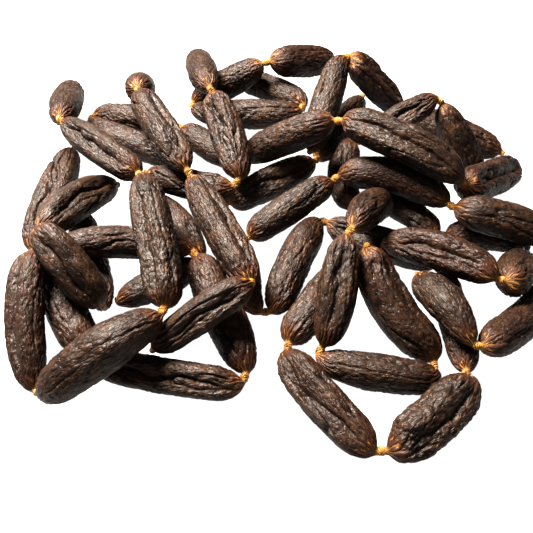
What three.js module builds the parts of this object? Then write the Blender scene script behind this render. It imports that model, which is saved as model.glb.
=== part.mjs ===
// A heaped string of small dried sausage links, as it lies on a table.
// Millimetres, +Z up. The origin is on the table, under the middle of the heap.
// Each link is one closed solid that ends in half a casing twist at both ends.
import * as THREE from 'three';

// Driving dimensions of a link
const GIRTH = 29;              // diameter of an ordinary link
const TWIST = 5;               // diameter of the twisted casing between two links
const TWIST_GAP = 0.5;         // clear space at the middle of a twist
const SHORTEST = 76;           // twist to twist, a short link
const LONGEST = 120;           // twist to twist, a long link
const TAUT = 0.985;            // length of a link, share of the distance between its listed twists
const SIDES = 10;              // corners round a link
const HALF_SIDE = 180 / SIDES; // half the turn between two corners, in degrees
const CLEARANCE = 0.45;        // space kept between two links that touch
const FLAT = 0.8;              // how far a link on the table is pressed flat

// An end of a link: distance from the middle of the twist and share of the full radius
const END_OUTLINE = [
  [0, 0],
  [2.5, 0],
  [7, 0.45],
  [14, 0.75],
  [25, 0.94],
];
const END_STRETCH = 0.25;      // how much longer or shorter than that an end may be
const LONG_LINK = 95;          // a longer link has two full rings in its middle, a shorter one has one
const LONG_MIDDLE = [0.42, 0.58];
const SHORT_MIDDLE = [0.5];

// How the surface departs from round
const RING_SPREAD = 0.04;      // girth changes along a link, share of the radius
const DENT_SPREAD = 0.05;      // small dents all over, share of the radius
const FURROW_DEPTH = 0.24;     // a long furrow from drying, share of the radius
const FURROW_START = 2;        // rings from a tip to where a furrow begins
const FURROW_FADE = 2;         // rings over which it deepens
const STEEP = 0.9;             // a link steeper than this counts its sides from the front right, not the top
const SEED = 20417;

// The lengths of string in the heap. Each row is a twist, as x, y and height above the table,
// then the girth of the link that starts there, and the side on which that link has its long
// furrow, in degrees from the top towards the front right. A row without a furrow ends at girth.
const STRINGS = [
  [
    [-83, -87, 14, 27, 35],
    [-6, -49, 40, 29, 20],
    [-61, 54, 54, 29, 30],
    [-110, 146, 62, 29],
    [-119, 206, 14],
  ],
  [
    [-168, 130, 14, 31, 10],
    [-186, -1, 12, 31],
    [-123, -90, 10, 27, 30],
    [-11, -108, 9, 32],
    [-49, -9, 16, 26],
    [-159, -15, 32, 28, -25],
    [-151, -122, 9, 34],
    [-62, -75, 40, 31, -20],
    [-95, 46, 60, 27, 20],
    [-172, 112, 60, 30],
    [-181, 198, 24],
  ],
  [
    [-68, 106, 9, 27],
    [-162, 164, 16, 27],
    [-76, 143, 20, 27],
    [-23, 104, 20, 30],
    [56, 94, 70, 32, 50],
    [149, 33, 52, 32, 40],
    [215, 102, 15],
  ],
  [
    [228, -2, 20, 31],
    [143, 22, 33, 30],
    [51, 61, 31, 27],
    [-21, 15, 11, 26],
    [3, -55, 10, 29],
    [44, 41, 14, 28, 20],
    [131, -7, 12, 25],
    [123, -102, 22, 36, 30],
    [69, -162, 11, 30, -35],
    [12, -80, 11, 29],
    [52, -5, 12],
  ],
  [
    [60, 228, 32, 32],
    [3, 201, 50, 30],
    [-74, 188, 16, 28],
    [36, 166, 26, 27],
    [-37, 228, 12],
  ],
  [
    [34, 92, 40, 27],
    [69, 181, 72, 29, 10],
    [125, 160, 22, 31],
    [208, 115, 12],
  ],
  [
    [181, 98, 12, 31],
    [141, 127, 58, 26, 45],
    [84, 106, 32, 28],
    [77, 66, 10, 25],
    [142, 19, 12, 28],
    [197, 3, 10, 31],
    [164, -59, 42, 30, 40],
    [84, -12, 16],
  ],
  [
    [72, -26, 50, 34, 25],
    [130, -98, 8, 28],
    [38, -85, 12, 30, 15],
    [63, -12, 56, 29],
    [96, 56, 10],
  ],
  [
    [-120, 71, 20, 31, 35],
    [-173, -8, 46, 31, 30],
    [-118, -54, 16, 27],
    [-149, 49, 10],
  ],
  [
    [-106, -33, 9, 27],
    [-46, 1, 10, 27],
    [-94, 69, 10],
  ],
  [
    [-35, 56, 12, 30, 40],
    [43, 106, 17, 28],
    [90, 187, 24],
  ],
  [
    [220, 1, 14, 29],
    [128, -93, 36, 28],
    [116, -22, 34],
  ],
  [
    [-103, 77, 32, 27],
    [-22, 53, 42, 30, -30],
    [-46, 143, 62, 29],
    [-60, 230, 24],
  ],
];

// How the string settles
const STEPS = 420;             // rounds of the settling
const CALM = 120;              // last rounds, in which only overlaps are cleared
const SAG = 0.03;              // fall of every point in a round
const HOLD = 0.06;             // how strongly a twist is drawn to its listed place
const STIFF_BODY = 0.275;      // resistance of a link to bending
const STIFF_TWIST = 0.02;      // resistance of a twist to bending
const NECK_RINGS = 4;          // rings at an end that may come close to the next link's twist
const MARGIN = 0.6 * GIRTH;    // space round a link's axis that holds its thickest ring
const NEARBY = 2 * GIRTH + 24; // rings farther apart than this can't touch
const TINY = 1e-6;             // keeps a division away from zero

// A seeded source of numbers from 0 to 1
function seededRandom(seed) {
  let state = seed >>> 0;
  return () => {
    state = (state + 0x6d2b79f5) >>> 0;
    let mixed = Math.imul(state ^ (state >>> 15), 1 | state);
    mixed = (mixed + Math.imul(mixed ^ (mixed >>> 7), 61 | mixed)) ^ mixed;
    return ((mixed ^ (mixed >>> 14)) >>> 0) / 2 ** 32;
  };
}

const random = seededRandom(SEED);

// Places of a link's rings along its length, and the radius of each
function outlineOf(length, girth) {
  const radius = girth / 2;
  const endOf = () => {
    const stretch = 1 + END_STRETCH * (2 * random() - 1);
    return END_OUTLINE.map(([along, share]) => ({
      along: along * stretch,
      radius: Math.max(TWIST / 2, radius * share),
    }));
  };
  const near = endOf();
  const body = (length > LONG_LINK ? LONG_MIDDLE : SHORT_MIDDLE).map((share) => ({ along: length * share, radius }));
  const far = endOf().map((ring) => ({ ...ring, along: length - ring.along })).reverse();
  const rings = [...near, ...body, ...far];
  for (const ring of rings) {
    if (ring.radius > TWIST) {
      ring.radius *= 1 - RING_SPREAD * random();
    }
  }
  return rings;
}

// Every link as a chain of points. Two neighbours on a string share the point of their twist.
function layOut() {
  const points = [];
  const links = [];
  for (const twists of STRINGS) {
    const knots = twists.map(([x, y, z]) => {
      const place = new THREE.Vector3(x, y, z);
      points.push({ place, target: place.clone() });
      return points.length - 1;
    });
    for (let index = 0; index + 1 < twists.length; index += 1) {
      const [, , , girth, furrow] = twists[index];
      const start = points[knots[index]].place;
      const end = points[knots[index + 1]].place;
      const length = THREE.MathUtils.clamp(TAUT * start.distanceTo(end), SHORTEST, LONGEST);
      const rings = outlineOf(length, girth);
      const chain = rings.map((ring, number) => {
        if (number === 0) {
          return knots[index];
        }
        if (number === rings.length - 1) {
          return knots[index + 1];
        }
        points.push({ place: start.clone().lerp(end, ring.along / length) });
        return points.length - 1;
      });
      links.push({
        rings,
        chain,
        furrow,
        follows: index > 0,
        leads: index + 2 < twists.length,
      });
    }
  }
  return { points, links };
}

const segment = {
  first: new THREE.Vector3(),
  second: new THREE.Vector3(),
  between: new THREE.Vector3(),
};

// Shares along two segments at which they come closest
function closestShares(a0, a1, b0, b1) {
  const along = segment.first.subVectors(a1, a0);
  const across = segment.second.subVectors(b1, b0);
  const offset = segment.between.subVectors(a0, b0);
  const aa = along.dot(along);
  const bb = across.dot(across);
  const ab = along.dot(across);
  const ao = along.dot(offset);
  const bo = across.dot(offset);
  const scale = aa * bb - ab * ab;
  let s = scale > TINY ? THREE.MathUtils.clamp((ab * bo - ao * bb) / scale, 0, 1) : 0.5;
  let t = (ab * s + bo) / bb;
  if (t < 0 || t > 1) {
    t = THREE.MathUtils.clamp(t, 0, 1);
    s = THREE.MathUtils.clamp((ab * t - ao) / aa, 0, 1);
  }
  return [s, t];
}

// Two segments beside a shared twist touch there by right
function meetAtTwist(one, i, other, j) {
  const lastOne = one.chain.length - 2;
  const lastOther = other.chain.length - 2;
  const pairs = [];
  if (one.chain[0] === other.chain[other.chain.length - 1]) {
    pairs.push([i, lastOther - j]);
  }
  if (other.chain[0] === one.chain[one.chain.length - 1]) {
    pairs.push([lastOne - i, j]);
  }
  return pairs.some(([m, n]) => (m === 0 && n < NECK_RINGS) || (n === 0 && m < NECK_RINGS));
}

function pushApart(points, one, i, other, j, space) {
  const a0 = points[one.chain[i]].place;
  const a1 = points[one.chain[i + 1]].place;
  const b0 = points[other.chain[j]].place;
  const b1 = points[other.chain[j + 1]].place;
  const [s, t] = closestShares(a0, a1, b0, b1);
  const radiusA = THREE.MathUtils.lerp(one.rings[i].radius, one.rings[i + 1].radius, s);
  const radiusB = THREE.MathUtils.lerp(other.rings[j].radius, other.rings[j + 1].radius, t);
  const push = new THREE.Vector3().lerpVectors(a0, a1, s);
  push.sub(new THREE.Vector3().lerpVectors(b0, b1, t));
  const distance = push.length();
  const lack = radiusA + radiusB + space - distance;
  if (lack <= 0) {
    return 0;
  }
  push.multiplyScalar(lack / (2 * Math.max(distance, TINY)));
  const shareA = s * s + (1 - s) * (1 - s);
  const shareB = t * t + (1 - t) * (1 - t);
  a0.addScaledVector(push, (1 - s) / shareA);
  a1.addScaledVector(push, s / shareA);
  b0.addScaledVector(push, -(1 - t) / shareB);
  b1.addScaledVector(push, -t / shareB);
  return lack;
}

function boxOf(points, link) {
  const box = new THREE.Box3();
  for (const index of link.chain) {
    box.expandByPoint(points[index].place);
  }
  return box.expandByScalar(MARGIN);
}

function clearOverlaps(points, links, space) {
  const boxes = links.map((link) => boxOf(points, link));
  let worst = 0;
  for (let a = 0; a < links.length; a += 1) {
    for (let b = a + 1; b < links.length; b += 1) {
      if (!boxes[a].intersectsBox(boxes[b])) {
        continue;
      }
      for (let i = 0; i + 1 < links[a].chain.length; i += 1) {
        for (let j = 0; j + 1 < links[b].chain.length; j += 1) {
          const start = points[links[a].chain[i]].place;
          const other = points[links[b].chain[j]].place;
          const near = start.distanceToSquared(other) < NEARBY * NEARBY;
          if (near && !meetAtTwist(links[a], i, links[b], j)) {
            worst = Math.max(worst, pushApart(points, links[a], i, links[b], j, space));
          }
        }
      }
    }
  }
  return worst;
}

function keepLengths(points, links) {
  for (const { rings, chain } of links) {
    for (let i = 0; i + 1 < chain.length; i += 1) {
      const a = points[chain[i]].place;
      const b = points[chain[i + 1]].place;
      const wanted = rings[i + 1].along - rings[i].along;
      const step = new THREE.Vector3().subVectors(b, a);
      const excess = (step.length() - wanted) / (2 * Math.max(step.length(), TINY));
      a.addScaledVector(step, excess);
      b.addScaledVector(step, -excess);
    }
  }
}

function straighten(points, links) {
  for (const { rings, chain } of links) {
    for (let i = 1; i + 1 < chain.length; i += 1) {
      const before = points[chain[i - 1]].place;
      const here = points[chain[i]].place;
      const after = points[chain[i + 1]].place;
      const share = (rings[i].along - rings[i - 1].along) / (rings[i + 1].along - rings[i - 1].along);
      const pull = new THREE.Vector3().lerpVectors(before, after, share).sub(here);
      const stiffness = rings[i].radius > TWIST ? STIFF_BODY : STIFF_TWIST;
      here.addScaledVector(pull, stiffness);
      before.addScaledVector(pull, -stiffness * (1 - share));
      after.addScaledVector(pull, -stiffness * share);
    }
  }
}

function stayOnTable(points, links) {
  for (const { rings, chain } of links) {
    chain.forEach((index, i) => {
      const { place } = points[index];
      place.z = Math.max(place.z, rings[i].radius - (rings[i].radius > TWIST ? FLAT : 0));
    });
  }
}

function settle(points, links) {
  for (let step = 0; step < STEPS; step += 1) {
    const calm = step >= STEPS - CALM;
    for (const point of points) {
      if (!calm) {
        point.place.z -= SAG;
      }
      if (point.target && !calm) {
        point.place.x += (point.target.x - point.place.x) * HOLD;
        point.place.y += (point.target.y - point.place.y) * HOLD;
        point.place.z += (point.target.z - point.place.z) * HOLD;
      }
    }
    keepLengths(points, links);
    straighten(points, links);
    clearOverlaps(points, links, CLEARANCE);
    stayOnTable(points, links);
  }
}

// Direction of the string at each ring of a link
function directionsOf(points, link, before, after) {
  const places = link.chain.map((index) => points[index].place);
  return places.map((place, i) => {
    const back = i === 0 ? (before ?? place) : places[i - 1];
    const ahead = i === places.length - 1 ? (after ?? place) : places[i + 1];
    return new THREE.Vector3().subVectors(ahead, back).normalize();
  });
}

// Degrees between two directions round a link
function turnBetween(one, other) {
  const turn = THREE.MathUtils.euclideanModulo(one - other, 360);
  return Math.min(turn, 360 - turn);
}

// One closed skin round a link: rings of corners, joined by quads and shut by a flat cap
function skinOf(points, link, before, after) {
  const directions = directionsOf(points, link, before, after);
  const count = link.rings.length;
  const middle = Math.floor(count / 2);
  const up = new THREE.Vector3(0, 0, 1);
  const side = new THREE.Vector3(1, -1, 0);
  const tops = [];
  const topAt = (i, guide) => guide.clone().addScaledVector(directions[i], -guide.dot(directions[i])).normalize();
  tops[middle] = topAt(middle, Math.abs(directions[middle].z) > STEEP ? side : up);
  for (let i = middle + 1; i < count; i += 1) {
    tops[i] = topAt(i, tops[i - 1]);
  }
  for (let i = middle - 1; i >= 0; i -= 1) {
    tops[i] = topAt(i, tops[i + 1]);
  }
  const lateral = new THREE.Vector3().crossVectors(directions[middle], tops[middle]);
  const handed = lateral.dot(side) < 0 ? -1 : 1;
  const positions = [];
  for (let i = 0; i < count; i += 1) {
    const centre = points[link.chain[i]].place.clone();
    if (i === 0 && link.follows) {
      centre.addScaledVector(directions[i], TWIST_GAP / 2);
    }
    if (i === count - 1 && link.leads) {
      centre.addScaledVector(directions[i], -TWIST_GAP / 2);
    }
    const across = new THREE.Vector3().crossVectors(directions[i], tops[i]);
    for (let corner = 0; corner < SIDES; corner += 1) {
      const angle = (corner / SIDES) * 2 * Math.PI;
      let radius = link.rings[i].radius;
      if (radius > TWIST) {
        radius *= 1 - DENT_SPREAD * random();
        const furrowed = link.furrow !== undefined;
        if (furrowed && turnBetween(THREE.MathUtils.radToDeg(angle), handed * link.furrow) < HALF_SIDE) {
          const inward = Math.min(i, count - 1 - i) - FURROW_START;
          radius *= 1 - FURROW_DEPTH * THREE.MathUtils.clamp(inward / FURROW_FADE, 0, 1);
        }
      }
      const corners = centre.clone();
      corners.addScaledVector(tops[i], Math.cos(angle) * radius);
      corners.addScaledVector(across, Math.sin(angle) * radius);
      positions.push(corners.x, corners.y, Math.max(corners.z, 0));
    }
  }
  const triangles = [];
  for (let i = 0; i + 1 < count; i += 1) {
    for (let corner = 0; corner < SIDES; corner += 1) {
      const next = (corner + 1) % SIDES;
      const a = i * SIDES + corner;
      const b = i * SIDES + next;
      const c = a + SIDES;
      const d = b + SIDES;
      triangles.push(a, b, d, a, d, c);
    }
  }
  const last = (count - 1) * SIDES;
  for (let corner = 1; corner + 1 < SIDES; corner += 1) {
    triangles.push(0, corner + 1, corner);
    triangles.push(last, last + corner, last + corner + 1);
  }
  const geometry = new THREE.BufferGeometry();
  geometry.setAttribute('position', new THREE.Float32BufferAttribute(positions, 3));
  geometry.setIndex(triangles);
  geometry.computeVertexNormals();
  return geometry;
}

const casing = new THREE.MeshStandardMaterial({ color: '#2f1e17', roughness: 0.5, metalness: 0 });

const { points, links } = layOut();
settle(points, links);

const heap = new THREE.Group();
links.forEach((link, number) => {
  const previous = link.follows ? points[links[number - 1].chain.at(-2)].place : undefined;
  const following = link.leads ? points[links[number + 1].chain[1]].place : undefined;
  const mesh = new THREE.Mesh(skinOf(points, link, previous, following), casing);
  mesh.name = `link_${String(number + 1).padStart(2, '0')}`;
  heap.add(mesh);
});

const bounds = new THREE.Box3().setFromObject(heap);
const middle = bounds.getCenter(new THREE.Vector3());
heap.position.set(-middle.x, -middle.y, -bounds.min.z);

export default heap;
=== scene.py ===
"""A heap of dried sausage links in natural casing, tied off by twists and laid on a light table.

Each link keeps the course and the girth of its solid. A fine skin is laid over the solid's rings,
and one node tree gives it folds, wrinkles and pleats. Another node tree winds the twists.
"""
import math

import bmesh
import bpy
import numpy as np
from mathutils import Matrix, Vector


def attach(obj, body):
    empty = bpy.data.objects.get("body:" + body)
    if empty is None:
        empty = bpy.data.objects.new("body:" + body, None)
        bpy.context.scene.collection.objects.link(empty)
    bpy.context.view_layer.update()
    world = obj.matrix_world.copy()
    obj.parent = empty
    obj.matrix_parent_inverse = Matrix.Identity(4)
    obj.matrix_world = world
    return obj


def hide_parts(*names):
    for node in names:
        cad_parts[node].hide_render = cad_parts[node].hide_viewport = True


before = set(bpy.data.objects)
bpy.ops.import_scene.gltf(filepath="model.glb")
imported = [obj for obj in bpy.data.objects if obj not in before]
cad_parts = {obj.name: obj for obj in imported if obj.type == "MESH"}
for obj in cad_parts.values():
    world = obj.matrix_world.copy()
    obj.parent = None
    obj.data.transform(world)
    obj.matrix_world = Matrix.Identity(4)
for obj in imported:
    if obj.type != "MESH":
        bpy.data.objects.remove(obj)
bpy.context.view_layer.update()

MM = 0.001

# Camera: the photograph looks down at the heap from the front.
IMAGE_SIDE = 533
FOCAL_PIXELS = 700
CAMERA_PITCH = math.radians(52)
CAMERA_DISTANCE = 550 * MM
LOOKED_AT = Vector((-15.71, -34.99, 0)) * MM
SENSOR_WIDTH = 36.0

# Reading a solid: how many corners its rings have, and what counts as one point, one plane and one area.
CORNERS = 10
MERGE_DISTANCE = 0.01 * MM
FLAT_ANGLE = math.radians(0.2)
CAP_AREA_STEP = 0.1 * MM * MM

# A link has a long furrow where its spokes are shorter than this share of their mean.
FURROWED = 0.91

# Skin of one link: how finely it is laid over the solid's rings.
COLUMNS = 116
NECK_LENGTH = 6 * MM
NECK_STEP = 0.55 * MM
SHOULDER_LENGTH = 18 * MM
SHOULDER_STEP = 0.75 * MM
BODY_STEP = 1.15 * MM
TIP_DOME = 0.25 * MM
BODY_RADIUS = 14.5 * MM

# Every link draws its own seed, depths and number of pleats from one row of random numbers.
SEED = 417
SEED_RANGE = 500
GOLDEN_SHARE = 0.618034
HALF_PLEATS = (7, 11)
LUMP_VARIES = (0.8, 1.3)
FOLD_VARIES = (0.4, 1.3)
WRINKLE_VARIES = (0.6, 1.25)
PLEAT_VARIES = (0.8, 1.2)
LUMPY_LINKS = {"link_28": 2.2}

# Valleys of the skin. A spacing is measured round the link, and a stretch says how much longer the
# pattern is along it. A breadth is the part of the noise's range that a valley takes, and a draw sets
# one noise apart from the next.
FOLD_SPACING = 15 * MM
FOLD_STRETCH = 4.5
FOLD_BREADTH = 0.04
FOLD_DEPTH = 2.0 * MM
FOLD_DRAW = 3.7
WRINKLE_SPACING = 2.8 * MM
WRINKLE_STRETCH = 2.0
WRINKLE_BREADTH = 0.14
WRINKLE_DEPTH = 0.72 * MM
WRINKLE_DRAW = 11.3
FINE_SPACING = 1.7 * MM
FINE_STRETCH = 1.9
FINE_BREADTH = 0.17
FINE_DEPTH = 0.3 * MM
FINE_DRAW = 29.1
VALLEY_SOFTNESS = 0.35
DRIFT_SCALE = 0.11 / MM
DRIFT_REACH = (5 * MM, 5 * MM, 9 * MM)
PATCH_SCALE = 0.07 / MM
PATCH_STRENGTH = (0.55, 1.2)
BODY_FROM = 5 * MM
BODY_FULL = 20 * MM

# Forms of the filling and of the casing's ends, with distances from the twist.
LUMP_SIZE = 16 * MM
LUMP_HEIGHT = 1.7 * MM
LUMP_MIDDLE = 0.56
LONG_FOLD_DEPTH = 2.2 * MM
LONG_FOLD_WIDTH = 2.4 * MM
LONG_FOLD_SWING = 5 * MM
LONG_FOLD_SWAY_SCALE = 0.03 / MM
LONG_FOLD_SHARPNESS = 1.5
LONG_FOLD_FROM = 10 * MM
LONG_FOLD_FULL = 26 * MM
SHOULDER_HEIGHT = 1.0 * MM
SHOULDER_RISE = (1.5 * MM, 8 * MM)
SHOULDER_FALL = (9 * MM, 26 * MM)
PLEATS = 17
PLEAT_DEPTH = 1.2 * MM
PLEAT_BEND_SCALE = 0.14 / MM
PLEAT_BEND = 5.0
PLEAT_RISE = (2 * MM, 9 * MM)
PLEAT_REACH = 24 * MM

# Skin colours and the sizes of their patterns.
MEAT_SCALE = 0.07 / MM
MEAT_BROWNS = ((0.3, "#190f08"), (0.5, "#281a0f"), (0.7, "#3d2918"))
RED_MEAT = "#361a12"
RED_SHARE = 0.3
SPECK_SCALE = 0.33 / MM
SPECK_FROM = 0.66
SPECK_FULL = 0.8
SPECK_SHARE = 0.32
SPECK_COLOUR = "#63361f"
CRINKLE_SCALE = 0.55 / MM
CRINKLE_SQUEEZE = (1, 1, 0.4)
CRINKLE_BREADTH = 0.14
# CRINKLE_SHADE, CREASE_SHADE and the near-black crease colour below darken the casing in crinkle valleys
# and creases: painted shade.
CRINKLE_SHADE = 0.6
CRINKLE_BUMP = 0.5 * MM
CREASE_SHADE = 0.85
CREASE_SHADE_COLOUR = "#0b0604"
STREAK_SCALE = 0.45 / MM
STREAK_REACH = 3 * MM
GROOVE_REACH = -7 * MM
RED_END_SHARE = 0.6
RED_END = (3 * MM, 15 * MM)
RED_END_COLOUR = "#41261a"
BARE_END = (1.5 * MM, 4.5 * MM)
BARE_COLOUR = "#88602c"
PORE_SCALE = 1.6 / MM
PORE_BUMP = 0.2 * MM
SHEEN_SCALE = 0.12 / MM
SHEEN = (0.42, 0.57)
CASING_IOR = 1.46

# Twists between links.
TWIST_RADIUS = 3.3 * MM
TWIST_REACH = 5.5 * MM
TWIST_GAP = 2.0 * MM
TWIST_STEP = 0.5 * MM
TWIST_STRANDS = 6
TWIST_CORNERS = 42
TWIST_TURN = 9 * MM
TWIST_NECK = 0.55
TWIST_HOLLOW = 0.5
TWIST_ROUGHNESS = 2.6 * MM
TWIST_ROUGH_SCALE = 0.35 / MM
TWIST_SEED = 5.0
AMBER_SCALE = 0.5 / MM
AMBERS = ((0.32, "#6a4a26"), (0.62, "#9e7638"))

# The table top lies this far under the heap, and reaches beyond every view.
TABLE_DROP = 0.2 * MM
TABLE_REACH = 3.0

# Lamps: name, place, side of the square in metres, watts and colour. They shine at the heap's middle.
LAMPS = (("window_behind", (-0.45, 0.4, 0.9), 0.42, 100.0, "#fff4e8"),
         ("lamp_in_front", (0.5, -0.8, 1.2), 0.9, 4.0, "#fff3e8"))
LIT_PLACE = LOOKED_AT + Vector((0, 60 * MM, 30 * MM))
ROOM_COLOUR = "#f8f4f0"
ROOM_STRENGTH = 0.08


def linear(code, alpha=1.0):
    """An sRGB hex colour as linear red, green, blue and alpha."""
    parts = [int(code[i:i + 2], 16) / 255 for i in (1, 3, 5)]
    return (*[c / 12.92 if c <= 0.04045 else ((c + 0.055) / 1.055) ** 2.4 for c in parts], alpha)


def add_node(tree, kind, settings=None, inputs=None):
    """Add a node to the tree, set its properties, and fill or link its input sockets."""
    node = tree.nodes.new(kind)
    for name, value in (settings or {}).items():
        setattr(node, name, value)
    for name, value in (inputs or {}).items():
        if isinstance(value, bpy.types.NodeSocket):
            tree.links.new(value, node.inputs[name])
        else:
            node.inputs[name].default_value = value
    return node


def rings_of(node):
    """The corners of the solid's rings from one tip to the other, as an array of ring, corner, xyz."""
    # The cap of a tip is a flat face with as many corners as a ring. The rings follow one another from it.
    solid = bmesh.new()
    solid.from_mesh(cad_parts[node].data)
    bmesh.ops.remove_doubles(solid, verts=solid.verts, dist=MERGE_DISTANCE)
    flat = solid.copy()
    bmesh.ops.dissolve_limit(flat, angle_limit=FLAT_ANGLE, verts=flat.verts, edges=flat.edges)
    caps = [face for face in flat.faces if len(face.verts) == CORNERS]
    cap = min(caps, key=lambda face: (round(face.calc_area() / CAP_AREA_STEP), face.calc_center_median().x))
    wanted = [v.co.copy() for v in cap.verts]
    flat.free()
    level = [min(solid.verts, key=lambda v: (v.co - place).length) for place in wanted]
    seen = set(level)
    levels = [level]
    while True:
        following = []
        for vert in levels[-1]:
            for edge in vert.link_edges:
                other = edge.other_vert(vert)
                if other not in seen:
                    seen.add(other)
                    following.append(other)
        if not following:
            break
        levels.append(following)
    rings = [np.array([v.co[:] for v in ring]) for ring in levels]
    solid.free()

    # Corners are put in order of their turn, which is carried from ring to ring without twisting.
    centres = np.array([ring.mean(0) for ring in rings])
    start = None
    ordered = []
    for i, ring in enumerate(rings):
        along = centres[min(i + 1, len(rings) - 1)] - centres[max(i - 1, 0)]
        along /= np.linalg.norm(along)
        spokes = ring - centres[i]
        if start is None:
            start = spokes[0]
        start = start - along * (start @ along)
        start /= np.linalg.norm(start)
        side = np.cross(along, start)
        half_step = math.pi / CORNERS
        turn = (np.arctan2(spokes @ side, spokes @ start) + half_step) % (2 * math.pi)
        ring = ring[np.argsort(turn)]
        ordered.append(ring)
        start = ring[0] - centres[i]
    return np.array(ordered)


def follow(knots, values, at, keep_level):
    """A smooth course through the values at the knots. With keep_level it never swings past them."""
    gaps = np.diff(knots)[:, None]
    slopes = np.diff(values, axis=0) / gaps
    before, after = slopes[:-1], slopes[1:]
    if keep_level:
        same = before * after > 0
        total = np.where(same, before + after, 1.0)
        inner = np.where(same, 2 * before * after / total, 0.0)
    else:
        inner = (before * gaps[1:] + after * gaps[:-1]) / (gaps[1:] + gaps[:-1])
    tangents = np.vstack([slopes[:1], inner, slopes[-1:]])
    cell = np.clip(np.searchsorted(knots, at, side="right") - 1, 0, len(knots) - 2)
    width = gaps[cell]
    t = ((at - knots[cell])[:, None]) / width
    return ((2 * t ** 3 - 3 * t ** 2 + 1) * values[cell]
            + (t ** 3 - 2 * t ** 2 + t) * width * tangents[cell]
            + (3 * t ** 2 - 2 * t ** 3) * values[cell + 1]
            + (t ** 3 - t ** 2) * width * tangents[cell + 1])


def around_weights(corners, columns):
    """Weights that lay a smooth closed curve through a ring's corners, one row for each column."""
    mesh = np.eye(corners) * 4 / 6
    mesh += np.roll(np.eye(corners), 1, 0) / 6 + np.roll(np.eye(corners), -1, 0) / 6
    basis = np.zeros((columns, corners))
    for column in range(columns):
        place = column / columns * corners
        first = int(place)
        t = place - first
        parts = ((1 - t) ** 3, 3 * t ** 3 - 6 * t ** 2 + 4, -3 * t ** 3 + 3 * t ** 2 + 3 * t + 1, t ** 3)
        for step, part in enumerate(parts):
            basis[column, (first + step - 1) % corners] += part / 6
    return basis @ np.linalg.inv(mesh)


def furrow_of(rings):
    """The turn at which a link's solid has its long furrow, or nothing if it is round."""
    body = rings[3:-3]
    spokes = np.linalg.norm(body - body.mean(1, keepdims=True), axis=2).mean(0)
    corner = int(spokes.argmin())
    if spokes[corner] > FURROWED * spokes.mean():
        return None
    return corner / CORNERS * 2 * math.pi


def row_places(length):
    """Distances along a link for the rows of its skin, closer together at the two ends."""
    half = [0.0]
    while half[-1] < length / 2:
        place = half[-1]
        step = NECK_STEP if place < NECK_LENGTH else SHOULDER_STEP if place < SHOULDER_LENGTH else BODY_STEP
        half.append(place + step)
    half = np.array(half) * (length / 2) / half[-1]
    return np.concatenate([half, length - half[-2::-1]])


def skin_mesh(name, rings):
    """A fine closed skin over the rings, with the attributes that its relief and its colour follow."""
    centres = rings.mean(1)
    knots = np.concatenate([[0], np.cumsum(np.linalg.norm(np.diff(centres, axis=0), axis=1))])
    length = knots[-1]
    rows = row_places(length)
    middle = follow(knots, centres, rows, False)
    corners = rings.shape[1]
    spokes = (rings - centres[:, None]).reshape(len(rings), -1)
    spokes = follow(knots, spokes, rows, True).reshape(len(rows), corners, 3)
    smooth = np.einsum("kc,rcx->rkx", around_weights(corners, COLUMNS), spokes)
    skin = middle[:, None] + smooth
    ends = []
    for tip, inner in ((0, 1), (-1, -2)):
        out = middle[tip] - middle[inner]
        ends.append(middle[tip] + out / np.linalg.norm(out) * TIP_DOME)
    points = np.vstack([skin.reshape(-1, 3), ends])
    row_count = len(rows)
    faces = []
    for row in range(row_count - 1):
        for column in range(COLUMNS):
            a = row * COLUMNS + column
            b = row * COLUMNS + (column + 1) % COLUMNS
            faces.append((a, b, b + COLUMNS, a + COLUMNS))
    first_pole = row_count * COLUMNS
    last_row = (row_count - 1) * COLUMNS
    for column in range(COLUMNS):
        turned = (column + 1) % COLUMNS
        faces.append((first_pole, turned, column))
        faces.append((first_pole + 1, last_row + column, last_row + turned))
    mesh = bpy.data.meshes.new(name)
    mesh.from_pydata(points.tolist(), [], faces)
    mesh.polygons.foreach_set("use_smooth", [True] * len(mesh.polygons))
    angle = np.arange(COLUMNS) / COLUMNS * 2 * math.pi
    rolled = np.zeros((row_count, COLUMNS, 3))
    rolled[:, :, 0] = np.cos(angle) * BODY_RADIUS
    rolled[:, :, 1] = np.sin(angle) * BODY_RADIUS
    rolled[:, :, 2] = rows[:, None]
    rolled = np.vstack([rolled.reshape(-1, 3), [[0, 0, 0], [0, 0, length]]])
    to_end = np.repeat(np.minimum(rows, length - rows), COLUMNS)
    to_end = np.concatenate([to_end, [0, 0]])
    turn = np.concatenate([np.tile(angle, row_count), [0, 0]])
    for label, kind, key, data in (("rolled", "FLOAT_VECTOR", "vector", rolled),
                                   ("to_end", "FLOAT", "value", to_end),
                                   ("turn", "FLOAT", "value", turn)):
        mesh.attributes.new(label, kind, "POINT").data.foreach_set(key, data.astype(np.float32).ravel())
    mesh.update()
    return mesh, centres, knots


def start_tree(name, sizes):
    """A node tree with an input for each size and for the casing's material, and its input sockets."""
    tree = bpy.data.node_groups.new(name, "GeometryNodeTree")
    tree.interface.new_socket("Geometry", in_out="INPUT", socket_type="NodeSocketGeometry")
    for label, value in sizes.items():
        socket = tree.interface.new_socket(label, in_out="INPUT", socket_type="NodeSocketFloat")
        socket.default_value = value
    tree.interface.new_socket("Casing", in_out="INPUT", socket_type="NodeSocketMaterial")
    tree.interface.new_socket("Geometry", in_out="OUTPUT", socket_type="NodeSocketGeometry")
    return tree, add_node(tree, "NodeGroupInput").outputs


def end_tree(tree, geometry, casing):
    """Make the tree's result real, give it the casing's material and put it out."""
    real = add_node(tree, "GeometryNodeRealizeInstances", {}, {"Geometry": geometry})
    dressed = add_node(tree, "GeometryNodeSetMaterial", {},
                       {"Geometry": real.outputs[0], "Material": casing})
    add_node(tree, "NodeGroupOutput", {}, {"Geometry": dressed.outputs[0]})


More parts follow.
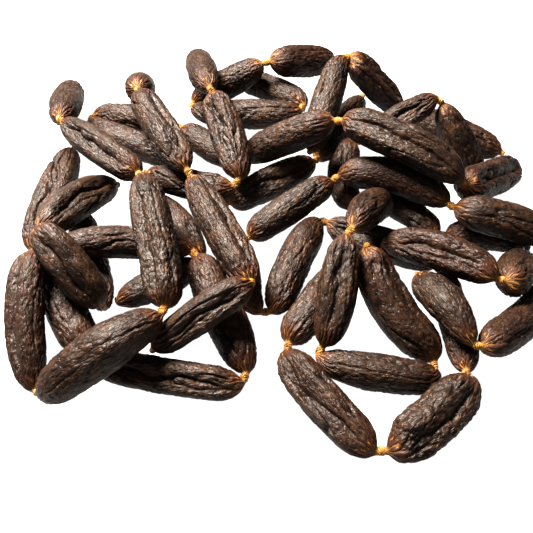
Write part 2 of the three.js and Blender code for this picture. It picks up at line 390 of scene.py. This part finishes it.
def relief_tree():
    """Folds, wrinkles and pleats of a casing that has dried round its filling, as one node tree."""
    tree, given = start_tree("casing_relief", {
        "Seed": 0.0, "Lump Height": LUMP_HEIGHT, "Fold Depth": FOLD_DEPTH, "Wrinkle Depth": WRINKLE_DEPTH,
        "Fine Depth": FINE_DEPTH, "Pleat Depth": PLEAT_DEPTH, "Pleats": float(PLEATS),
        "Long Fold Depth": LONG_FOLD_DEPTH, "Long Fold Turn": 0.0, "Shoulder Height": SHOULDER_HEIGHT,
        "Redness": 0.5})
    rolled, to_end, turn = (
        add_node(tree, "GeometryNodeInputNamedAttribute", {"data_type": kind}, {"Name": label})
        .outputs["Attribute"]
        for label, kind in (("rolled", "FLOAT_VECTOR"), ("to_end", "FLOAT"), ("turn", "FLOAT")))

    # The pattern wanders, so that no wrinkle runs straight.
    drift = add_node(tree, "ShaderNodeTexNoise", {"noise_dimensions": "4D"},
                     {"Vector": rolled, "W": given["Seed"], "Scale": DRIFT_SCALE, "Detail": 1.0})
    centred = add_node(tree, "ShaderNodeVectorMath", {"operation": "SUBTRACT"},
                       {0: drift.outputs["Color"], 1: (0.5, 0.5, 0.5)})
    wander = add_node(tree, "ShaderNodeVectorMath", {"operation": "MULTIPLY_ADD"},
                      {0: centred.outputs[0], 1: DRIFT_REACH, 2: rolled}).outputs[0]

    # Broad lumps of the filling.
    lumps = add_node(tree, "ShaderNodeTexNoise", {"noise_dimensions": "4D"},
                     {"Vector": rolled, "W": given["Seed"], "Scale": 1 / LUMP_SIZE, "Detail": 1.0,
                      "Roughness": 0.4})
    lump_height = add_node(tree, "ShaderNodeMath", {"operation": "SUBTRACT"},
                           {0: lumps.outputs["Fac"], 1: LUMP_MIDDLE})
    lump = add_node(tree, "ShaderNodeMath", {"operation": "MULTIPLY"},
                    {0: lump_height.outputs[0], 1: given["Lump Height"]}).outputs[0]

    # Valleys lie where a noise crosses its middle value: few long folds, many wrinkles, and fine ones.
    depth = None
    valleys = []
    for spacing, stretch, breadth, key, draw in (
            (FOLD_SPACING, FOLD_STRETCH, FOLD_BREADTH, "Fold Depth", FOLD_DRAW),
            (WRINKLE_SPACING, WRINKLE_STRETCH, WRINKLE_BREADTH, "Wrinkle Depth", WRINKLE_DRAW),
            (FINE_SPACING, FINE_STRETCH, FINE_BREADTH, "Fine Depth", FINE_DRAW)):
        drawn = add_node(tree, "ShaderNodeVectorMath", {"operation": "MULTIPLY"},
                         {0: wander, 1: (1, 1, 1 / stretch)})
        shifted = add_node(tree, "ShaderNodeMath", {"operation": "ADD"}, {0: given["Seed"], 1: draw})
        noise = add_node(tree, "ShaderNodeTexNoise", {"noise_dimensions": "4D"},
                         {"Vector": drawn.outputs[0], "W": shifted.outputs[0], "Scale": 1 / spacing,
                          "Detail": 1.0, "Roughness": VALLEY_SOFTNESS})
        level = add_node(tree, "ShaderNodeMath", {"operation": "SUBTRACT"},
                         {0: noise.outputs["Fac"], 1: 0.5})
        off = add_node(tree, "ShaderNodeMath", {"operation": "ABSOLUTE"}, {0: level.outputs[0]})
        slope = add_node(tree, "ShaderNodeMapRange", {"interpolation_type": "LINEAR"},
                         {"Value": off.outputs[0], "From Min": 0.0, "From Max": breadth,
                          "To Min": 0.0, "To Max": math.pi / 2})
        crest = add_node(tree, "ShaderNodeMath", {"operation": "SINE"}, {0: slope.outputs["Result"]})
        valley = add_node(tree, "ShaderNodeMath", {"operation": "SUBTRACT"},
                          {0: 1.0, 1: crest.outputs[0]}).outputs[0]
        valleys.append(valley)
        cut = add_node(tree, "ShaderNodeMath", {"operation": "MULTIPLY"},
                       {0: valley, 1: given[key]}).outputs[0]
        depth = cut if depth is None else add_node(
            tree, "ShaderNodeMath", {"operation": "ADD"}, {0: depth, 1: cut}).outputs[0]

    # Wrinkles are deeper in some places than in others.
    patches = add_node(tree, "ShaderNodeTexNoise", {"noise_dimensions": "4D"},
                       {"Vector": rolled, "W": given["Seed"], "Scale": PATCH_SCALE, "Detail": 0.0})
    strength = add_node(tree, "ShaderNodeMapRange", {"interpolation_type": "SMOOTHSTEP"},
                        {"Value": patches.outputs["Fac"], "From Min": 0.3, "From Max": 0.6,
                         "To Min": PATCH_STRENGTH[0], "To Max": PATCH_STRENGTH[1]}).outputs["Result"]
    on_body = add_node(tree, "ShaderNodeMapRange", {"interpolation_type": "SMOOTHSTEP"},
                       {"Value": to_end, "From Min": BODY_FROM, "From Max": BODY_FULL}).outputs["Result"]
    strength = add_node(tree, "ShaderNodeMath", {"operation": "MULTIPLY"},
                        {0: strength, 1: on_body}).outputs[0]
    depth = add_node(tree, "ShaderNodeMath", {"operation": "MULTIPLY"},
                     {0: depth, 1: strength}).outputs[0]

    # A long fold runs down some links where the meat has shrunk away, and sways from side to side.
    along = add_node(tree, "ShaderNodeSeparateXYZ", {}, {0: rolled}).outputs["Z"]
    course = add_node(tree, "ShaderNodeMath", {"operation": "MULTIPLY_ADD"},
                      {0: along, 1: LONG_FOLD_SWAY_SCALE, 2: given["Seed"]})
    sway = add_node(tree, "ShaderNodeTexNoise", {"noise_dimensions": "1D"},
                    {"W": course.outputs[0], "Scale": 1.0, "Detail": 2.0})
    least = add_node(tree, "ShaderNodeMath", {"operation": "SUBTRACT"},
                     {0: turn, 1: LONG_FOLD_SWING / BODY_RADIUS})
    swayed = add_node(tree, "ShaderNodeMath", {"operation": "MULTIPLY_ADD"},
                      {0: sway.outputs["Fac"], 1: 2 * LONG_FOLD_SWING / BODY_RADIUS, 2: least.outputs[0]})
    aside = add_node(tree, "ShaderNodeMath", {"operation": "SUBTRACT"},
                     {0: swayed.outputs[0], 1: given["Long Fold Turn"]})
    aside = add_node(tree, "ShaderNodeMath", {"operation": "COSINE"}, {0: aside.outputs[0]})
    aside = add_node(tree, "ShaderNodeMath", {"operation": "ARCCOSINE"}, {0: aside.outputs[0]})
    long_fold = add_node(tree, "ShaderNodeMapRange", {"interpolation_type": "LINEAR"},
                         {"Value": aside.outputs[0], "From Min": 0.0,
                          "From Max": LONG_FOLD_WIDTH / BODY_RADIUS,
                          "To Min": 1.0, "To Max": 0.0}).outputs["Result"]
    long_fold = add_node(tree, "ShaderNodeMath", {"operation": "POWER"},
                         {0: long_fold, 1: LONG_FOLD_SHARPNESS}).outputs[0]
    far_in = add_node(tree, "ShaderNodeMapRange", {"interpolation_type": "SMOOTHSTEP"},
                      {"Value": to_end, "From Min": LONG_FOLD_FROM,
                       "From Max": LONG_FOLD_FULL}).outputs["Result"]
    long_fold = add_node(tree, "ShaderNodeMath", {"operation": "MULTIPLY"},
                         {0: long_fold, 1: far_in}).outputs[0]
    long_cut = add_node(tree, "ShaderNodeMath", {"operation": "MULTIPLY"},
                        {0: long_fold, 1: given["Long Fold Depth"]}).outputs[0]
    depth = add_node(tree, "ShaderNodeMath", {"operation": "ADD"}, {0: depth, 1: long_cut}).outputs[0]
    long_mark = add_node(tree, "ShaderNodeMath", {"operation": "DIVIDE"}, {0: long_cut, 1: LONG_FOLD_DEPTH})
    lump = add_node(tree, "ShaderNodeMath", {"operation": "MULTIPLY"}, {0: lump, 1: on_body}).outputs[0]

    # The filling is pressed up against both ends and rounds their shoulders.
    fuller = add_node(tree, "ShaderNodeMapRange", {"interpolation_type": "SMOOTHSTEP"},
                      {"Value": to_end, "From Min": SHOULDER_RISE[0],
                       "From Max": SHOULDER_RISE[1]}).outputs["Result"]
    level_off = add_node(tree, "ShaderNodeMapRange", {"interpolation_type": "SMOOTHSTEP"},
                         {"Value": to_end, "From Min": SHOULDER_FALL[0], "From Max": SHOULDER_FALL[1],
                          "To Min": 1.0, "To Max": 0.0}).outputs["Result"]
    shoulder = add_node(tree, "ShaderNodeMath", {"operation": "MULTIPLY"},
                        {0: fuller, 1: level_off}).outputs[0]
    lump = add_node(tree, "ShaderNodeMath", {"operation": "MULTIPLY_ADD"},
                    {0: shoulder, 1: given["Shoulder Height"], 2: lump}).outputs[0]

    # Pleats gather the casing into the twist.
    bend = add_node(tree, "ShaderNodeTexNoise", {"noise_dimensions": "4D"},
                    {"Vector": rolled, "W": given["Seed"], "Scale": PLEAT_BEND_SCALE, "Detail": 1.0})
    swing = add_node(tree, "ShaderNodeMapRange", {"clamp": False},
                     {"Value": bend.outputs["Fac"], "From Min": 0.0, "From Max": 1.0,
                      "To Min": -PLEAT_BEND, "To Max": PLEAT_BEND})
    wave = add_node(tree, "ShaderNodeMath", {"operation": "MULTIPLY"}, {0: given["Pleats"], 1: 0.5})
    phase = add_node(tree, "ShaderNodeMath", {"operation": "MULTIPLY_ADD"},
                     {0: turn, 1: wave.outputs[0], 2: swing.outputs["Result"]})
    beat = add_node(tree, "ShaderNodeMath", {"operation": "SINE"}, {0: phase.outputs[0]})
    crest = add_node(tree, "ShaderNodeMath", {"operation": "ABSOLUTE"}, {0: beat.outputs[0]})
    groove = add_node(tree, "ShaderNodeMath", {"operation": "SUBTRACT"},
                      {0: 1.0, 1: crest.outputs[0]}).outputs[0]
    rise = add_node(tree, "ShaderNodeMapRange", {"interpolation_type": "SMOOTHSTEP"},
                    {"Value": to_end, "From Min": PLEAT_RISE[0],
                     "From Max": PLEAT_RISE[1]}).outputs["Result"]
    fall = add_node(tree, "ShaderNodeMapRange", {"interpolation_type": "SMOOTHSTEP"},
                    {"Value": to_end, "From Min": PLEAT_RISE[1], "From Max": PLEAT_REACH,
                     "To Min": 1.0, "To Max": 0.0}).outputs["Result"]
    gathered = add_node(tree, "ShaderNodeMath", {"operation": "MULTIPLY"}, {0: rise, 1: fall}).outputs[0]
    groove = add_node(tree, "ShaderNodeMath", {"operation": "MULTIPLY"},
                      {0: groove, 1: gathered}).outputs[0]
    pleat = add_node(tree, "ShaderNodeMath", {"operation": "MULTIPLY"},
                     {0: groove, 1: given["Pleat Depth"]}).outputs[0]

    # Height along the surface's own normal, then the parts below the table are set down on it.
    inward = add_node(tree, "ShaderNodeMath", {"operation": "ADD"}, {0: depth, 1: pleat}).outputs[0]
    height = add_node(tree, "ShaderNodeMath", {"operation": "SUBTRACT"}, {0: lump, 1: inward}).outputs[0]
    normal = add_node(tree, "GeometryNodeInputNormal").outputs["Normal"]
    offset = add_node(tree, "ShaderNodeVectorMath", {"operation": "SCALE"},
                      {0: normal, "Scale": height}).outputs[0]
    shaped = add_node(tree, "GeometryNodeSetPosition", {},
                      {"Geometry": given["Geometry"], "Offset": offset})
    place = add_node(tree, "GeometryNodeInputPosition").outputs["Position"]
    seated = add_node(tree, "ShaderNodeVectorMath", {"operation": "MAXIMUM"}, {0: place, 1: (-1, -1, 0)})
    shaped = add_node(tree, "GeometryNodeSetPosition", {},
                      {"Geometry": shaped.outputs[0], "Position": seated.outputs[0]})

    # The colour follows these attributes; the crease attribute marks where the casing material paints
    # shade.
    crease = add_node(tree, "ShaderNodeMath", {"operation": "MAXIMUM"},
                      {0: valleys[0], 1: valleys[1]}).outputs[0]
    crease = add_node(tree, "ShaderNodeMath", {"operation": "MULTIPLY"}, {0: crease, 1: on_body}).outputs[0]
    crease = add_node(tree, "ShaderNodeMath", {"operation": "MAXIMUM"},
                      {0: crease, 1: long_mark.outputs[0]}).outputs[0]
    marked = shaped.outputs[0]
    for label, value in (("crease", crease), ("groove", groove), ("redness", given["Redness"])):
        marked = add_node(tree, "GeometryNodeStoreNamedAttribute",
                          {"data_type": "FLOAT", "domain": "POINT"},
                          {"Geometry": marked, "Name": label, "Value": value}).outputs[0]
    end_tree(tree, marked, given["Casing"])
    return tree


def twist_tree():
    """Casing wound into a rope between two links, swept along short lines that carry a radius."""
    tree, given = start_tree("casing_twist", {
        "Radius": TWIST_RADIUS, "Turn Length": TWIST_TURN, "Strands": float(TWIST_STRANDS),
        "Seed": TWIST_SEED})
    line = add_node(tree, "GeometryNodeMeshToCurve", {}, {"Mesh": given["Geometry"]})
    smooth = add_node(tree, "GeometryNodeCurveSplineType", {"spline_type": "CATMULL_ROM"},
                      {"Curve": line.outputs[0]})
    even = add_node(tree, "GeometryNodeResampleCurve", {"mode": "LENGTH"},
                    {"Curve": smooth.outputs[0], "Length": TWIST_STEP})
    run = add_node(tree, "GeometryNodeSplineParameter").outputs
    arch = add_node(tree, "ShaderNodeMath", {"operation": "PINGPONG"}, {0: run["Factor"], 1: 0.5})
    swell = add_node(tree, "ShaderNodeMapRange", {"interpolation_type": "SMOOTHSTEP"},
                     {"Value": arch.outputs[0], "From Min": 0.0, "From Max": 0.5,
                      "To Min": TWIST_NECK, "To Max": 1.0})
    width = add_node(tree, "ShaderNodeMath", {"operation": "MULTIPLY"},
                     {0: swell.outputs["Result"], 1: given["Radius"]})
    sized = add_node(tree, "GeometryNodeSetCurveRadius", {},
                     {"Curve": even.outputs[0], "Radius": width.outputs[0]})
    turns = add_node(tree, "ShaderNodeMath", {"operation": "DIVIDE"},
                     {0: run["Length"], 1: given["Turn Length"]})
    tilt = add_node(tree, "ShaderNodeMath", {"operation": "MULTIPLY"},
                    {0: turns.outputs[0], 1: 2 * math.pi})
    wound = add_node(tree, "GeometryNodeSetCurveTilt", {},
                     {"Curve": sized.outputs[0], "Tilt": tilt.outputs[0]})

    # The rope's section is a star with one lobe for each strand.
    ring = add_node(tree, "GeometryNodeCurvePrimitiveCircle", {"mode": "RADIUS"},
                    {"Resolution": TWIST_CORNERS, "Radius": 1.0})
    place = add_node(tree, "GeometryNodeInputPosition").outputs["Position"]
    parts = add_node(tree, "ShaderNodeSeparateXYZ", {}, {0: place})
    angle = add_node(tree, "ShaderNodeMath", {"operation": "ARCTAN2"},
                     {0: parts.outputs["Y"], 1: parts.outputs["X"]})
    lobes = add_node(tree, "ShaderNodeMath", {"operation": "MULTIPLY"}, {0: given["Strands"], 1: 0.5})
    phase = add_node(tree, "ShaderNodeMath", {"operation": "MULTIPLY"},
                     {0: angle.outputs[0], 1: lobes.outputs[0]})
    beat = add_node(tree, "ShaderNodeMath", {"operation": "SINE"}, {0: phase.outputs[0]})
    crest = add_node(tree, "ShaderNodeMath", {"operation": "ABSOLUTE"}, {0: beat.outputs[0]})
    reach = add_node(tree, "ShaderNodeMapRange", {},
                     {"Value": crest.outputs[0], "To Min": TWIST_HOLLOW, "To Max": 1.0})
    star = add_node(tree, "ShaderNodeVectorMath", {"operation": "SCALE"},
                    {0: place, "Scale": reach.outputs["Result"]})
    profile = add_node(tree, "GeometryNodeSetPosition", {},
                       {"Geometry": ring.outputs["Curve"], "Position": star.outputs[0]})
    rope = add_node(tree, "GeometryNodeCurveToMesh", {},
                    {"Curve": wound.outputs[0], "Profile Curve": profile.outputs[0],
                     "Scale": add_node(tree, "GeometryNodeInputRadius").outputs[0], "Fill Caps": True})

    # Knots and loose edges of casing make it uneven, and nothing goes below the table.
    rough = add_node(tree, "ShaderNodeTexNoise", {"noise_dimensions": "4D"},
                     {"Vector": place, "W": given["Seed"], "Scale": TWIST_ROUGH_SCALE, "Detail": 2.0})
    level = add_node(tree, "ShaderNodeVectorMath", {"operation": "SUBTRACT"},
                     {0: rough.outputs["Color"], 1: (0.5, 0.5, 0.5)})
    shift = add_node(tree, "ShaderNodeVectorMath", {"operation": "SCALE"},
                     {0: level.outputs[0], "Scale": TWIST_ROUGHNESS})
    shaken = add_node(tree, "GeometryNodeSetPosition", {},
                      {"Geometry": rope.outputs[0], "Offset": shift.outputs[0]})
    seated = add_node(tree, "ShaderNodeVectorMath", {"operation": "MAXIMUM"}, {0: place, 1: (-1, -1, 0)})
    shaken = add_node(tree, "GeometryNodeSetPosition", {},
                      {"Geometry": shaken.outputs[0], "Position": seated.outputs[0]})
    soft = add_node(tree, "GeometryNodeSetShadeSmooth", {}, {"Geometry": shaken.outputs[0]})
    end_tree(tree, soft.outputs[0], given["Casing"])
    return tree


def grown(name, mesh, tree, settings):
    """A plain object made by running the node tree on the mesh with these named settings."""
    base = bpy.data.objects.new(name + "_base", mesh)
    bpy.context.scene.collection.objects.link(base)
    modifier = base.modifiers.new("grown", "NODES")
    modifier.node_group = tree
    for item in tree.interface.items_tree:
        if item.name in settings and item.in_out == "INPUT":
            modifier[item.identifier] = settings[item.name]
    depsgraph = bpy.context.evaluated_depsgraph_get()
    result = bpy.data.meshes.new_from_object(base.evaluated_get(depsgraph), depsgraph=depsgraph,
                                             preserve_all_data_layers=True)
    bpy.data.objects.remove(base)
    result.name = name
    piece = bpy.data.objects.new(name, result)
    bpy.context.scene.collection.objects.link(piece)
    return piece


def start_material(name):
    """A material without nodes, and its tree."""
    material = bpy.data.materials.new(name)
    material.use_nodes = True
    material.node_tree.nodes.clear()
    return material, material.node_tree


def set_ramp(ramp, stops):
    """Give the two or more stops of a colour ramp their places and colours."""
    for element, (place, code) in zip(ramp.elements, (stops[0], stops[-1])):
        element.position = place
        element.color = linear(code)
    for place, code in stops[1:-1]:
        ramp.elements.new(place).color = linear(code)


def casing_material():
    """Smoked natural casing, air-dried onto dark meat: thin, tight, wrinkled, with a little fat on it."""
    material, tree = start_material("smoked_natural_casing")
    rolled = add_node(tree, "ShaderNodeAttribute", {"attribute_name": "rolled"}).outputs["Vector"]
    to_end, crease, groove, redness = (
        add_node(tree, "ShaderNodeAttribute", {"attribute_name": label}).outputs["Fac"]
        for label in ("to_end", "crease", "groove", "redness"))
    place = add_node(tree, "ShaderNodeTexCoord").outputs["Object"]

    # The meat shows through as darker and redder patches, 10 to 20 mm across.
    patches = add_node(tree, "ShaderNodeTexNoise", {},
                       {"Vector": place, "Scale": MEAT_SCALE, "Detail": 3.0, "Roughness": 0.6})
    brown = add_node(tree, "ShaderNodeValToRGB", {}, {"Fac": patches.outputs["Fac"]})
    set_ramp(brown.color_ramp, MEAT_BROWNS)

    # Some links are redder than others.
    redder = add_node(tree, "ShaderNodeMath", {"operation": "MULTIPLY"}, {0: redness, 1: RED_SHARE})
    meat = add_node(tree, "ShaderNodeMix", {"data_type": "RGBA"},
                    {"Factor": redder.outputs[0], 6: brown.outputs["Color"], 7: linear(RED_MEAT)})

    # Small warm specks of fat and spice, 1 to 3 mm across.
    specks = add_node(tree, "ShaderNodeTexNoise", {},
                      {"Vector": place, "Scale": SPECK_SCALE, "Detail": 2.0, "Roughness": 0.5})
    speckled = add_node(tree, "ShaderNodeMapRange", {"interpolation_type": "SMOOTHSTEP"},
                        {"Value": specks.outputs["Fac"], "From Min": SPECK_FROM,
                         "From Max": SPECK_FULL, "To Min": 0.0, "To Max": SPECK_SHARE})
    spotted = add_node(tree, "ShaderNodeMix", {"data_type": "RGBA"},
                       {"Factor": speckled.outputs["Result"], 6: meat.outputs[2],
                        7: linear(SPECK_COLOUR)})

    # Crinkles 1 to 2 mm apart, drawn out along the link, with painted shade in their valleys.
    drawn = add_node(tree, "ShaderNodeVectorMath", {"operation": "MULTIPLY"},
                     {0: rolled, 1: CRINKLE_SQUEEZE})
    crinkle = add_node(tree, "ShaderNodeTexNoise", {},
                       {"Vector": drawn.outputs[0], "Scale": CRINKLE_SCALE, "Detail": 1.0,
                        "Roughness": 0.45, "Distortion": 0.4})
    crossing = add_node(tree, "ShaderNodeMath", {"operation": "SUBTRACT"},
                        {0: crinkle.outputs["Fac"], 1: 0.5})
    crossing = add_node(tree, "ShaderNodeMath", {"operation": "ABSOLUTE"}, {0: crossing.outputs[0]})
    ridge = add_node(tree, "ShaderNodeMapRange", {"interpolation_type": "SMOOTHSTEP"},
                     {"Value": crossing.outputs[0], "From Min": 0.0, "From Max": CRINKLE_BREADTH})
    valley = add_node(tree, "ShaderNodeMapRange", {},
                      {"Value": ridge.outputs["Result"], "From Min": 0.0, "From Max": 0.7,
                       "To Min": CRINKLE_SHADE, "To Max": 0.0})

    # Painted shade: the colour is darkened towards near-black in the creases and crinkle valleys, where
    # light hardly reaches into them.
    shade = add_node(tree, "ShaderNodeMapRange", {},
                     {"Value": crease, "From Min": 0.1, "From Max": 0.9,
                      "To Min": 0.0, "To Max": CREASE_SHADE})
    painted_shade = add_node(tree, "ShaderNodeMath", {"operation": "MAXIMUM"},
                    {0: shade.outputs["Result"], 1: valley.outputs["Result"]})
    crease_shaded = add_node(tree, "ShaderNodeMix", {"data_type": "RGBA"},
                       {"Factor": painted_shade.outputs[0], 6: spotted.outputs[2], 7: linear(CREASE_SHADE_COLOUR)})

    # Towards the twist the casing lies on itself, without meat behind it: reddish, then amber.
    streak = add_node(tree, "ShaderNodeTexNoise", {},
                      {"Vector": rolled, "Scale": STREAK_SCALE, "Detail": 2.0})
    reach = add_node(tree, "ShaderNodeMapRange", {"clamp": False},
                     {"Value": streak.outputs["Fac"], "From Min": 0.0, "From Max": 1.0,
                      "To Min": -STREAK_REACH, "To Max": STREAK_REACH})
    near = add_node(tree, "ShaderNodeMath", {"operation": "ADD"},
                    {0: to_end, 1: reach.outputs["Result"]})
    near = add_node(tree, "ShaderNodeMath", {"operation": "MULTIPLY_ADD"},
                    {0: groove, 1: GROOVE_REACH, 2: near.outputs[0]}).outputs[0]
    red = add_node(tree, "ShaderNodeMapRange", {"interpolation_type": "SMOOTHSTEP"},
                   {"Value": near, "From Min": RED_END[0], "From Max": RED_END[1],
                    "To Min": RED_END_SHARE, "To Max": 0.0})
    reddened = add_node(tree, "ShaderNodeMix", {"data_type": "RGBA"},
                        {"Factor": red.outputs["Result"], 6: crease_shaded.outputs[2],
                         7: linear(RED_END_COLOUR)})
    bare = add_node(tree, "ShaderNodeMapRange", {"interpolation_type": "SMOOTHSTEP"},
                    {"Value": near, "From Min": BARE_END[0], "From Max": BARE_END[1],
                     "To Min": 1.0, "To Max": 0.0})
    colour = add_node(tree, "ShaderNodeMix", {"data_type": "RGBA"},
                      {"Factor": bare.outputs["Result"], 6: reddened.outputs[2],
                       7: linear(BARE_COLOUR)})

    # The crinkles also stand out in relief, with pores of about half a millimetre on them.
    crinkled = add_node(tree, "ShaderNodeBump", {}, {"Strength": 0.55, "Distance": CRINKLE_BUMP,
                                                     "Height": ridge.outputs["Result"]})
    grain = add_node(tree, "ShaderNodeTexNoise", {},
                     {"Vector": place, "Scale": PORE_SCALE, "Detail": 2.0, "Roughness": 0.6})
    bump = add_node(tree, "ShaderNodeBump", {}, {"Strength": 0.08, "Distance": PORE_BUMP,
                                                 "Height": grain.outputs["Fac"],
                                                 "Normal": crinkled.outputs["Normal"]})

    # Fat has soaked through in patches of about 8 mm, which shine more than the dry casing.
    sheen = add_node(tree, "ShaderNodeTexNoise", {}, {"Vector": place, "Scale": SHEEN_SCALE, "Detail": 2.0})
    gloss = add_node(tree, "ShaderNodeMapRange", {},
                     {"Value": sheen.outputs["Fac"], "From Min": 0.3, "From Max": 0.7,
                      "To Min": SHEEN[0], "To Max": SHEEN[1]})
    shader = add_node(tree, "ShaderNodeBsdfPrincipled", {},
                      {"Base Color": colour.outputs[2], "Roughness": gloss.outputs["Result"],
                       "IOR": CASING_IOR, "Specular IOR Level": 0.25, "Normal": bump.outputs["Normal"]})
    add_node(tree, "ShaderNodeOutputMaterial", {}, {"Surface": shader.outputs[0]})
    return material


def twist_material():
    """Bare natural casing wound tight: no meat behind it, so it is amber and lets light through."""
    material, tree = start_material("twisted_bare_casing")
    place = add_node(tree, "ShaderNodeTexCoord").outputs["Object"]
    layers = add_node(tree, "ShaderNodeTexNoise", {},
                      {"Vector": place, "Scale": AMBER_SCALE, "Detail": 3.0, "Roughness": 0.6})
    amber = add_node(tree, "ShaderNodeValToRGB", {}, {"Fac": layers.outputs["Fac"]})
    set_ramp(amber.color_ramp, AMBERS)
    bump = add_node(tree, "ShaderNodeBump", {}, {"Strength": 0.5, "Distance": 0.3 * MM,
                                                 "Height": layers.outputs["Fac"]})
    shader = add_node(tree, "ShaderNodeBsdfPrincipled", {},
                      {"Base Color": amber.outputs["Color"], "Roughness": 0.42, "IOR": CASING_IOR,
                       "Subsurface Weight": 0.1, "Subsurface Radius": (0.9, 0.45, 0.2),
                       "Subsurface Scale": 1.5 * MM, "Normal": bump.outputs["Normal"]})
    add_node(tree, "ShaderNodeOutputMaterial", {}, {"Surface": shader.outputs[0]})
    return material


def floor_material():
    """Opal acrylic of a photographer's light table: lit from below, it shows hardly any shadow."""
    material, tree = start_material("opal_acrylic_light_table")
    shader = add_node(tree, "ShaderNodeBsdfPrincipled", {},
                      {"Base Color": linear("#5c5c5c"), "Roughness": 0.85,
                       "Emission Color": linear("#ffffff"), "Emission Strength": 0.85})
    add_node(tree, "ShaderNodeOutputMaterial", {}, {"Surface": shader.outputs[0]})
    return material


random = np.random.default_rng(SEED)
casing = casing_material()
bare_casing = twist_material()
relief = relief_tree()

courses = {}
for node in sorted(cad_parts):
    rings = rings_of(node)
    furrow = furrow_of(rings)
    mesh, centres, knots = skin_mesh(node + "_skin", rings)
    courses[node] = (centres, knots)
    lumpy = LUMPY_LINKS.get(node, 1.0)
    seed = float(random.uniform(0, SEED_RANGE))
    piece = grown(node.replace("link", "sausage"), mesh, relief, {
        "Seed": seed,
        "Redness": seed * GOLDEN_SHARE % 1,
        "Lump Height": LUMP_HEIGHT * lumpy * float(random.uniform(*LUMP_VARIES)),
        "Fold Depth": FOLD_DEPTH * lumpy ** 0.5 * float(random.uniform(*FOLD_VARIES)),
        "Wrinkle Depth": WRINKLE_DEPTH * lumpy ** 0.5 * float(random.uniform(*WRINKLE_VARIES)),
        "Fine Depth": FINE_DEPTH,
        "Pleat Depth": PLEAT_DEPTH * float(random.uniform(*PLEAT_VARIES)),
        "Pleats": float(2 * random.integers(*HALF_PLEATS)),
        "Long Fold Depth": 0.0 if furrow is None else LONG_FOLD_DEPTH,
        "Long Fold Turn": furrow or 0.0,
        "Casing": casing,
    })
    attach(piece, "root")
    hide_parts(node)

# Two links share a twist where the tip of one meets the tip of another.
tips = []
for node, (centres, knots) in courses.items():
    for order in (1, -1):
        track = centres[::order]
        run = knots if order == 1 else knots[-1] - knots[::-1]
        tips.append((node, track, run))
lines = []
edges = []
for a, (node_a, track_a, run_a) in enumerate(tips):
    for node_b, track_b, run_b in tips[a + 1:]:
        if node_a == node_b or np.linalg.norm(track_a[0] - track_b[0]) > TWIST_GAP:
            continue
        inner_a = follow(run_a, track_a, np.array([TWIST_REACH, TWIST_REACH / 2]), False)
        inner_b = follow(run_b, track_b, np.array([TWIST_REACH / 2, TWIST_REACH]), False)
        joint = (track_a[0] + track_b[0])[None] / 2
        first = len(lines)
        lines.extend(np.vstack([inner_a, joint, inner_b]).tolist())
        edges.extend((first + i, first + i + 1) for i in range(4))
route = bpy.data.meshes.new("twist_lines")
route.from_pydata(lines, edges, [])
twists = grown("casing_twists", route, twist_tree(), {
    "Radius": TWIST_RADIUS, "Turn Length": TWIST_TURN, "Strands": float(TWIST_STRANDS),
    "Seed": TWIST_SEED, "Casing": bare_casing})
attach(twists, "root")

table = bpy.data.meshes.new("table_top")
corners = [(x * TABLE_REACH, y * TABLE_REACH, 0) for x, y in ((-1, -1), (1, -1), (1, 1), (-1, 1))]
table.from_pydata(corners, [], [(0, 1, 2, 3)])
table.materials.append(floor_material())
floor = bpy.data.objects.new("table_top", table)
floor.location.z = -TABLE_DROP
bpy.context.scene.collection.objects.link(floor)

for name, place, side, watts, tint in LAMPS:
    lamp = bpy.data.lights.new(name, "AREA")
    lamp.size = side
    lamp.energy = watts
    lamp.color = linear(tint)[:3]
    holder = bpy.data.objects.new(name, lamp)
    holder.location = place
    aim = LIT_PLACE - holder.location
    holder.rotation_euler = aim.to_track_quat("-Z", "Y").to_euler()
    bpy.context.scene.collection.objects.link(holder)

world = bpy.data.worlds.new("pale_room")
world.use_nodes = True
world.node_tree.nodes["Background"].inputs["Color"].default_value = linear(ROOM_COLOUR)
world.node_tree.nodes["Background"].inputs["Strength"].default_value = ROOM_STRENGTH
bpy.context.scene.world = world
bpy.context.scene.view_settings.view_transform = "Standard"
bpy.context.scene.view_settings.look = "Medium High Contrast"

forward = Vector((0, math.cos(CAMERA_PITCH), -math.sin(CAMERA_PITCH)))
view = bpy.data.cameras.new("camera")
view.sensor_width = SENSOR_WIDTH
view.lens = SENSOR_WIDTH * FOCAL_PIXELS / IMAGE_SIDE
view.clip_start = 0.01
camera = bpy.data.objects.new("camera", view)
camera.location = LOOKED_AT - forward * CAMERA_DISTANCE
camera.rotation_euler = (math.pi / 2 - CAMERA_PITCH, 0, 0)
bpy.context.scene.collection.objects.link(camera)
bpy.context.scene.camera = camera
